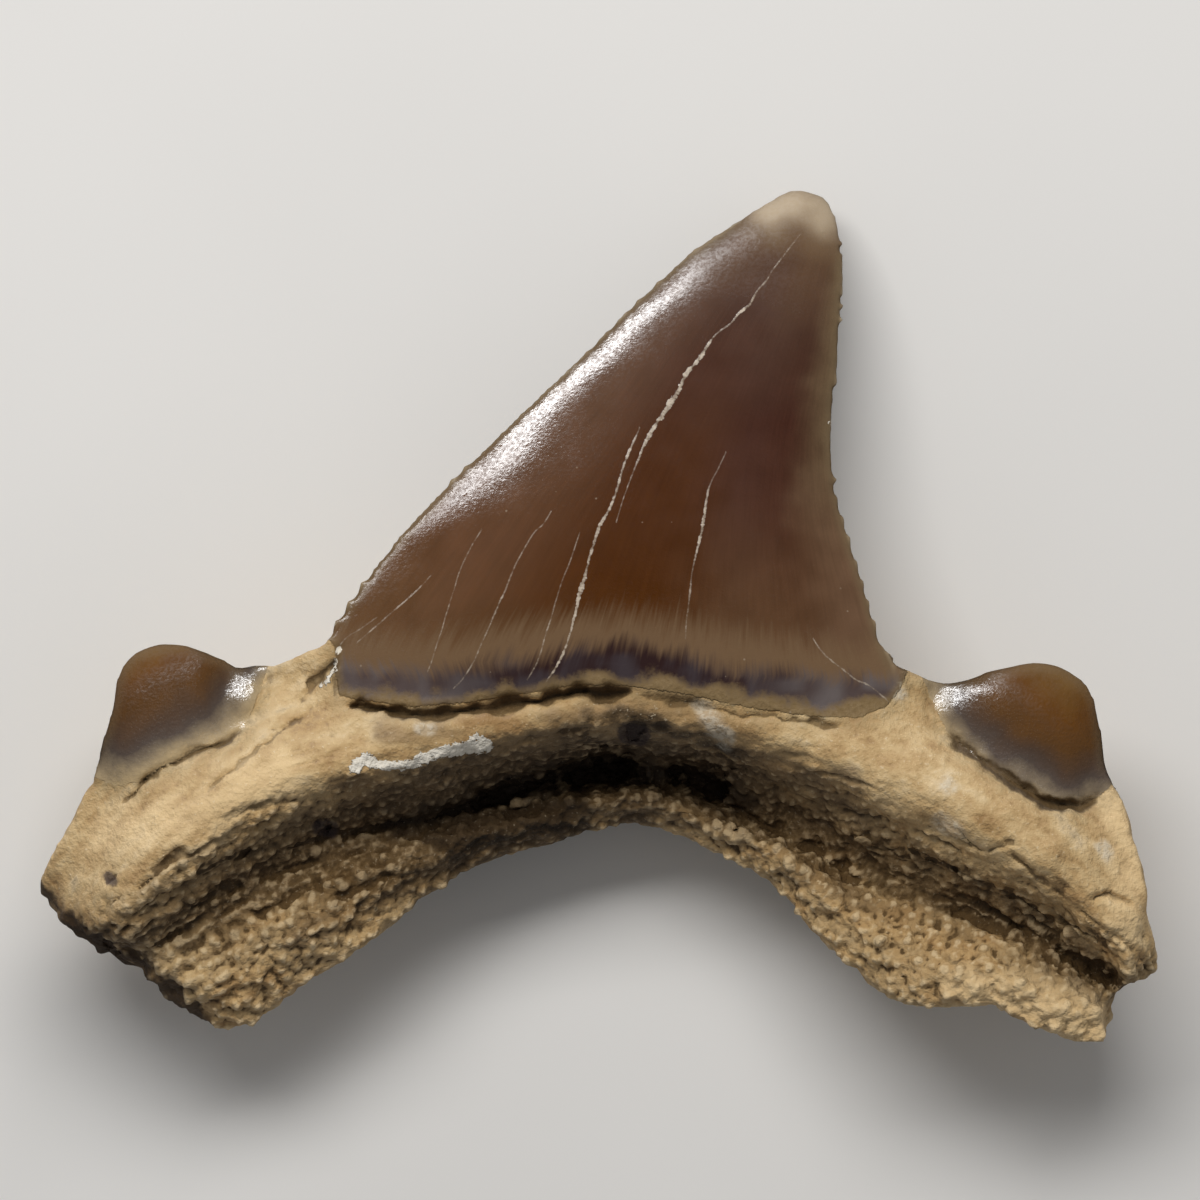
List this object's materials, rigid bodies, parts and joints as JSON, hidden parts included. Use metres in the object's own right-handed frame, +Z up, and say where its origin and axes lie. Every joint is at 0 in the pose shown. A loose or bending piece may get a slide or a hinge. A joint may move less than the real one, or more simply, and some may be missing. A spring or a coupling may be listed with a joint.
{
  "type": "fossil shark tooth",
  "caption": "Fossil shark tooth: a leaning, pointed crown with low side cusps on an arched root with spreading lobes; it lies on its back.",
  "frame": {"origin": "on the surface that the tooth lies on, below the middle of its box", "axes": "+X across the root, towards the side that the crown leans to; +Y from the root to the tip of the crown; +Z up, out of the tooth's outer (labial) face"},
  "size_m": [0.024, 0.0184, 0.0059],
  "materials": {
    "fossil_tooth": "glossy brown enamel on crown and cusps, dry grainy tan root"
  },
  "bodies": {
    "root": {"tooth": "fossil_tooth"}
  },
  "joints": []
}
